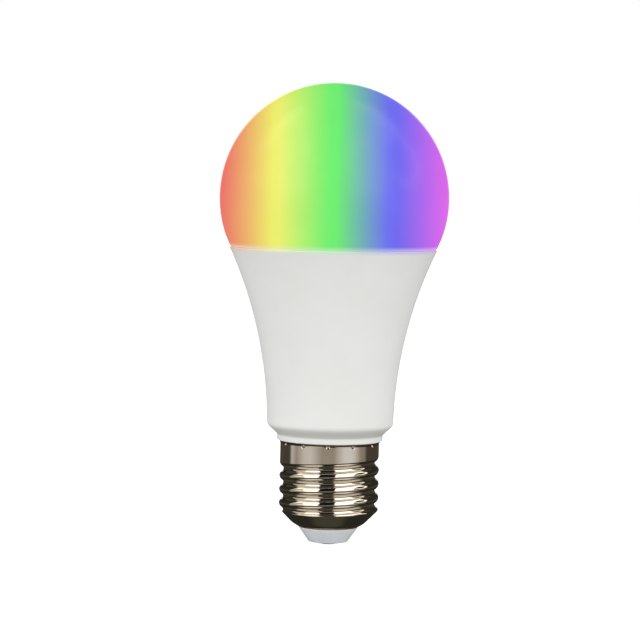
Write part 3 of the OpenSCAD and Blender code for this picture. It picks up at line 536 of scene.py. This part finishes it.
def make_diffuser():
    low = SEAM + SEAM_GAP
    r_low = math.sqrt(DOME_R ** 2 - (DOME_Z - low) ** 2)
    a_low = math.degrees(math.asin((low - DOME_Z) / DOME_R))
    inner = DOME_R - DOME_WALL
    a_in = math.degrees(math.asin((low + FLANGE - DOME_Z) / inner))
    outline = [(SPIGOT_IN, SPIGOT_LOW), (SPIGOT_R, SPIGOT_LOW), (SPIGOT_R, BEAD_Z - 0.35),
               (SPIGOT_R + 0.22, BEAD_Z), (SPIGOT_R, BEAD_Z + 0.35), (SPIGOT_R, low), (r_low - 0.12, low)]
    outline += arc(0, DOME_Z, DOME_R, a_low + 0.25, 90, 110)
    outline[-1] = (0, TOP)
    outline += [(0, DOME_Z + inner)] + arc(0, DOME_Z, inner, 89, a_in, 60)
    outline += [(SPIGOT_IN, low + FLANGE)]
    return lathe("frosted_diffuser", outline, 320, material=diffuser_look(), replaced="diffuser",
                 slot="diffuser_plastic", sharp=40)


def make_housing():
    top = SEAM
    a = math.radians(SLOPE)
    shoulder_x = NECK_R + 0.02 - SHOULDER
    slope_r, slope_z = shoulder_x + SHOULDER * math.cos(a), SHOULDER_Z - SHOULDER * math.sin(a)
    cove_z = slope_z - (slope_r - LIP_R - COVE * (1 - math.cos(a))) / math.tan(a) - COVE * math.sin(a)
    outer = rounded([(COLLAR_R, LIP_Z), (LIP_R, LIP_Z, 0.16), (LIP_R, cove_z)])
    outer += arc(LIP_R + COVE, cove_z, COVE, 174, 180 - SLOPE, 8)
    outer += arc(shoulder_x, SHOULDER_Z, SHOULDER, -SLOPE, 0, 10)
    outer += [(flare(z), z) for z in np.linspace(SHOULDER_Z + 0.4, top - 0.34, 90)]
    outer += arc(flare(top - 0.34) - 0.28, top - 0.30, 0.30, 10, 90, 5)
    inner = [(POCKET_R, top - 0.02), (POCKET_R, BEAD_Z + 0.4), (POCKET_R + 0.22, BEAD_Z),
             (POCKET_R, BEAD_Z - 0.4), (POCKET_R, POCKET_Z), (flare(POCKET_Z, WALL), POCKET_Z)]
    inner += [(flare(z, WALL), z) for z in np.linspace(POCKET_Z - 0.3, FUNNEL_Z, 40)]
    inner += [(BORE_R, FUNNEL_Z - flare(FUNNEL_Z, WALL) + BORE_R), (BORE_R, TUBE_Z), (TUBE_R, TUBE_Z),
              (TUBE_R, COLLAR_Z), (COLLAR_R, COLLAR_Z)]
    return lathe("white_housing", outer + inner, 320, material=housing_look(), replaced="housing",
                 slot="housing_plastic", sharp=42)


def make_insulator():
    outline = rounded([(1.55, 0.7), (5.2, 0.7, 0.12), (7.67, 4.2, 0.25), (7.67, 4.58, 0.08),
                       (7.22, 4.58), (7.22, 4.88), (8.4, 6.1), (9.3, 7.0), (9.3, 8.1), (7.4, 8.1), (3.4, 6.6),
                       (3.2, 8.1), (1.55, 8.1)])
    return lathe("cap_insulator_cone", outline, 192, material=insulator_look(), replaced="cap_insulator",
                 slot="insulator_plastic", sharp=50)


def make_contact():
    outline = [(0, 0.0), (1.2, 0.0), (1.5, 0.02), (1.9, 0.07), (2.3, 0.145), (2.7, 0.24), (3.1, 0.34),
               (3.5, 0.45), (3.85, 0.55), (4.1, 0.63), (4.28, 0.7), (1.5, 0.7), (1.5, 7.6), (1.1, 8.5),
               (0, 8.5)]
    return lathe("centre_contact_head", outline, 128, material=contact_look(), replaced="centre_contact",
                 slot="contact_metal", sharp=35)


# ---------------------------------------------------------------- screw cap

PITCH, CREST, ROOT, SKIRT, SHEET = 3.629, 13.1, 12.04, 13.0, 0.4
GROOVE_Z, CAP_LOW, CAP_TOP = 21.6, 4.6, 27.45
VALLEY, RIDGE = 0.75, 1.333
CONE_Z, CONE_R, CONE_CURL, CONE_BLEND = 6.0, 9.97, 0.4, 0.35
RIM_OUT, MARK_HALF, MARK_DEPTH = 0.55, 0.48, 0.38
FLARED_Z, MARK_Z = 26.7, 26.7
MARKS, FIRST_MARK = 12, 268.0


def smooth(x, lo, hi):
    t = np.clip((x - lo) / (hi - lo), 0, 1)
    return t * t * (3 - 2 * t)


def groove_share(dz):
    """Depth of the round thread at a height dz from the groove's middle: two arcs that meet on the flank."""
    depth = CREST - ROOT
    d = np.abs(dz)
    near = depth - VALLEY + np.sqrt(np.maximum(VALLEY ** 2 - d ** 2, 0))
    far = RIDGE - np.sqrt(np.maximum(RIDGE ** 2 - (PITCH / 2 - d) ** 2, 0))
    return np.where(d < PITCH / 2 * VALLEY / (VALLEY + RIDGE), near, far) / depth


def cap_radius(turn_deg, z):
    """Outer radius of the rolled sheet, with its thread, the cone that closes it, and the plain skirt."""
    t = (z - GROOVE_Z) / PITCH - turn_deg / 360
    k = np.round(t)
    run_out = np.clip((0.4 - (k + turn_deg / 360)) / 0.35, 0, 1)
    run_out = run_out * run_out * (3 - 2 * run_out)
    crest = CREST - (CREST - SKIRT) * smooth(z, 19.8, 22.6)
    thread = crest - (CREST - ROOT) * groove_share((t - k) * PITCH) * run_out
    cone = CONE_R + (z - CONE_Z) - np.where(z < CONE_Z, CONE_CURL * (CONE_Z - z) ** 2, 0)
    h = np.clip(0.5 + 0.5 * (cone - thread) / CONE_BLEND, 0, 1)
    return cone * (1 - h) + thread * h - CONE_BLEND * h * (1 - h)


def punch_mark(turn_deg, z):
    """Depth of the punch marks under the rim, in millimetres."""
    step = 360 / MARKS
    off = (turn_deg - FIRST_MARK + step / 2) % step - step / 2
    s = np.radians(off) * SKIRT
    pit = 1 - np.sqrt((s / MARK_HALF) ** 2 + ((z - MARK_Z) / MARK_HALF) ** 2)
    return MARK_DEPTH * np.clip(pit, 0, 1) ** 0.85


def rim(z):
    """How far the top of the skirt is rolled out."""
    return RIM_OUT * np.clip((z - FLARED_Z) / (CAP_TOP - FLARED_Z), 0, 1) ** 1.4


def make_cap():
    step = 360 / MARKS
    fine = np.arange(-4.0, 4.01, 0.5)
    coarse = np.linspace(4.0, step - 4.0, 21)[1:-1]
    between = np.concatenate([fine, coarse])
    turns = np.concatenate([FIRST_MARK - 360 + i * step + between for i in range(MARKS)]) % 360
    turns.sort()
    n = len(turns)
    z_out = np.concatenate([np.linspace(CAP_LOW + 0.12, 24.6, 176), np.linspace(24.8, 26.1, 6),
                            np.linspace(26.2, CAP_TOP - 0.1, 26)])
    rows = []
    for z in z_out:
        r = cap_radius(turns, np.full(n, z)) + rim(z) - punch_mark(turns, z)
        rows.append((r, np.full(n, z)))
    r_top = rows[-1][0]
    for a in (35, 75, 110, 150):
        c, s = math.cos(math.radians(a)), math.sin(math.radians(a))
        rows.append((r_top - 0.10 + 0.10 * c, np.full(n, CAP_TOP - 0.1 + 0.1 * s)))
    rows.append((r_top - 0.50, np.full(n, CAP_TOP - 0.25)))
    for z in np.linspace(CAP_TOP - 0.5, CAP_LOW + 0.3, 110):
        r = cap_radius(turns, np.full(n, z)) - SHEET - punch_mark(turns, z) * 0.9
        rows.append((np.minimum(r, SKIRT - SHEET), np.full(n, z)))
    edge = cap_radius(turns, np.full(n, CAP_LOW + 0.12))
    for a in (200, 235, 270, 305, 340):
        c, s = math.cos(math.radians(a)), math.sin(math.radians(a))
        rows.append((edge - 0.18 + 0.18 * c, np.full(n, CAP_LOW + 0.12 + 0.12 * s)))
    cos, sin = np.cos(np.radians(turns)), np.sin(np.radians(turns))
    vertices = np.concatenate([np.stack([r * cos, r * sin, z], 1) for r, z in rows]) * MM
    m = len(rows)
    faces = [[i * n + k, i * n + (k + 1) % n, (i + 1) % m * n + (k + 1) % n, (i + 1) % m * n + k]
             for i in range(m) for k in range(n)]
    return new_piece("screw_cap_shell", vertices, faces, nickel_look(), "cap_shell", "cap_nickel", sharp=60)


make_diffuser()
make_housing()
make_insulator()
make_contact()
make_cap()

for node, look in LOOKS.items():
    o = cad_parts[node]
    material = look()
    o.data.materials.clear()
    o.data.materials.append(material)


# ---------------------------------------------------------------- studio

def stage_floor():
    """A plain pale floor under the bulb, which glows so that it stays white and is clear from below."""
    size, cells, below = 6.0, 24, -0.00002
    row = cells + 1
    vertices = [((i / cells - 0.5) * size, (j / cells - 0.5) * size, below)
                for j in range(row) for i in range(row)]
    faces = [[j * row + i, j * row + i + 1, (j + 1) * row + i + 1, (j + 1) * row + i]
             for j in range(cells) for i in range(cells)]
    mesh = bpy.data.meshes.new("floor")
    mesh.from_pydata(vertices, [], faces)
    g = Graph("pale_floor")
    colour = g.mix(g.map(g.noise(0.02, 2.0), 0.35, 0.65), (0.80, 0.80, 0.80), (0.83, 0.83, 0.83))
    g.finish(colour, 0.9, 0.0, Emission_Strength=0.95, Specular_IOR_Level=0.1)
    g.bsdf.inputs["Emission Color"].default_value = (1, 1, 1, 1)
    see_through = g.node("MixShader")
    g.set(see_through.inputs[0], g.node("NewGeometry").outputs["Backfacing"])
    g.set(see_through.inputs[1], g.bsdf.outputs[0])
    g.set(see_through.inputs[2], g.node("BsdfTransparent").outputs[0])
    g.set(g.nt.nodes["Material Output"].inputs["Surface"], see_through.outputs[0])
    mesh.materials.append(g.mat)
    floor = bpy.data.objects.new("floor", mesh)
    scene.collection.objects.link(floor)
    floor.visible_glossy = False
    floor.visible_diffuse = False


# Light from all round, by the height of the direction (-1 down, 1 up): for every side, and added in front
AROUND = ((-1.0, 0.05), (-0.7, 0.2), (-0.4, 1.0), (-0.1, 1.2), (0.2, 0.8), (0.6, 0.15), (1.0, 0.15))
FRONT = ((-1.0, 0.0), (-0.4, 0.0), (-0.1, 0.3), (0.2, 0.85), (0.6, 0.85), (1.0, 0.65))
# How bright the studio is that the cap mirrors at eye level, by degrees from the front
HORIZON = ((-106, 0.075), (-98, 0.61), (-83, 0.38), (-60, 0.72), (-45, 0.75), (-18, 0.39), (10, 0.38),
           (35, 0.81), (50, 0.83), (60, 0.73), (77, 0.34), (90, 0.27), (97, 0.075))


def warm(v):
    """A grey that is warmer the darker it is."""
    return v, v * (0.82 + 0.18 * v), v * (0.55 + 0.5 * v)


def studio_world():
    """Soft white light that is stronger from above and in front, with softboxes and dark cards that only
    glossy surfaces mirror, and a plain white backdrop."""
    world = bpy.data.worlds.new("studio")
    scene.world = world
    world.use_nodes = True
    g = Graph("unused")
    bpy.data.materials.remove(g.mat)
    g.nt = world.node_tree
    back = g.nt.nodes["Background"]
    s = g.node("SeparateXYZ")
    g.set(s.inputs[0], g.node("TexCoord").outputs["Generated"])
    x, y, z = s.outputs
    front = g.math("MULTIPLY", y, -1.0)

    around = g.ramp(g.map(z, -1, 1), [((h + 1) / 2, v / 2) for h, v in AROUND])
    ahead = g.ramp(g.map(z, -1, 1), [((h + 1) / 2, v / 2) for h, v in FRONT])
    soft = g.math("MULTIPLY", g.math("MULTIPLY_ADD", ahead, g.map(front, -1, 1), around), 2.0)
    diffuse = g.combine(soft, g.math("MULTIPLY", soft, 0.998), g.math("MULTIPLY", soft, 0.985))

    # directions in degrees: azimuth from the front, elevation, and a lateral angle that carries on overhead
    azimuth = g.math("MULTIPLY", g.math("ARCTAN2", x, front), 180 / math.pi)
    elevation = g.math("MULTIPLY", g.math("ARCSINE", z), 180 / math.pi)
    reach = g.math("SQRT", g.math("ADD", g.math("MULTIPLY", x, x), g.math(
        "MULTIPLY_ADD", y, y, g.math("MULTIPLY", g.math("MULTIPLY", z, z), 0.35))))
    lateral = g.math("MULTIPLY", g.math("ARCSINE", g.math("DIVIDE", x, reach)), 180 / math.pi)

    def box(value, lo, hi, edge):
        up = g.map(value, lo - edge, lo + edge, smooth=True)
        down = g.map(value, hi - edge, hi + edge, 1.0, 0.0, smooth=True)
        return g.math("MULTIPLY", up, down)

    def both(a, b):
        return g.math("MULTIPLY", a, b)

    colour = g.mix(g.map(elevation, -75, -60, smooth=True), (0.070, 0.066, 0.048), (0.030, 0.028, 0.022))
    strip = g.ramp(g.map(azimuth, -110, 110), [((a + 110) / 220, warm(v)) for a, v in HORIZON])
    colour = g.mix(box(elevation, -12.5, 1.5, 2.0), colour, strip)
    table = both(box(elevation, -58, -34, 4.0), both(g.map(g.math("ABSOLUTE", azimuth), 14, 24), g.map(
        g.math("ABSOLUTE", azimuth), 60, 90, 1.0, 0.0)))
    colour = g.mix(table, colour, (1.15, 1.04, 0.90))
    gap = both(box(lateral, -26, 13.5, 2.0), g.map(elevation, 2, 6))
    colour = g.mix(gap, colour, (0.012, 0.010, 0.008))
    overhead = g.map(g.math("MULTIPLY_ADD", g.math("SUBTRACT", z, 0.45), 1.2, front), 0.0, 0.12)
    risen = both(g.map(elevation, 2.0, 5.0, smooth=True), overhead)
    boxes = both(g.math("ADD", box(lateral, -61, -26, 1.5), box(lateral, 13.5, 58, 1.5)), risen)
    bright = g.mix(g.map(z, 0.84, 0.93), (2.6, 2.5, 2.25), (0.95, 0.91, 0.85))
    colour = g.mix(boxes, colour, bright)
    bar = g.math("ABSOLUTE", g.math("SUBTRACT", elevation, g.math("MULTIPLY_ADD", azimuth, 0.7, 90.0)))
    window = both(both(box(azimuth, -103, -61, 2.0), box(elevation, 8, 66, 2.0)), g.map(bar, 6, 9))
    colour = g.mix(window, colour, (1.35, 1.25, 1.05))
    u = g.math("DIVIDE", g.math("SUBTRACT", azimuth, 82), 21)
    v = g.math("DIVIDE", g.math("SUBTRACT", elevation, 36), 24)
    ring = g.math("SQRT", g.math("MULTIPLY_ADD", u, u, both(v, v)))
    hoop = g.math("ABSOLUTE", g.math("SUBTRACT", ring, 1.0))
    colour = g.mix(g.map(hoop, 0.14, 0.22, 1.0, 0.0), colour, (1.7, 1.6, 1.4))
    behind = both(g.map(g.math("ABSOLUTE", azimuth), 164, 170), box(elevation, -1, 12, 3.0))
    glossy = g.mix(behind, colour, (0.9, 0.9, 0.9))

    # what is seen by way of two mirrorings, between the turns of the thread
    path = g.node("LightPath")
    aside = g.math("SUBTRACT", 1.0, box(lateral, -26, 13.5, 2.0))
    level = both(box(elevation, -45, 3, 4.0), both(aside, g.map(front, -0.1, 0.1)))
    again = g.mix(level, (0.10, 0.09, 0.07), (1.25, 1.15, 1.0))
    glossy = g.mix(g.math("GREATER_THAN", path.outputs["Glossy Depth"], 1.5), glossy, again)
    lit = g.mix(path.outputs["Is Glossy Ray"], diffuse, glossy)
    g.set(back.inputs["Color"], g.mix(path.outputs["Is Camera Ray"], lit, (1.0, 1.0, 1.0)))
    back.inputs["Strength"].default_value = 1.0


def make_camera():
    """A long lens, level with the diffuser, that looks a little down and leans about a degree."""
    cam = bpy.data.cameras.new("camera")
    cam.lens, cam.sensor_width = 150.3, 36.0
    cam.clip_start, cam.clip_end = 0.05, 20.0
    o = bpy.data.objects.new("camera", cam)
    distance, height, aim = 0.700, 0.099, 0.05895
    pitch = math.atan((height - aim) / distance)
    look = Matrix.Rotation(math.pi / 2 - pitch, 4, "X") @ Matrix.Rotation(math.radians(1.1), 4, "Z")
    o.matrix_world = Matrix.Translation((-0.00317, -distance, height)) @ look
    scene.collection.objects.link(o)
    scene.camera = o


stage_floor()
studio_world()
make_camera()
scene.view_settings.view_transform = "Standard"
scene.view_settings.look = "None"
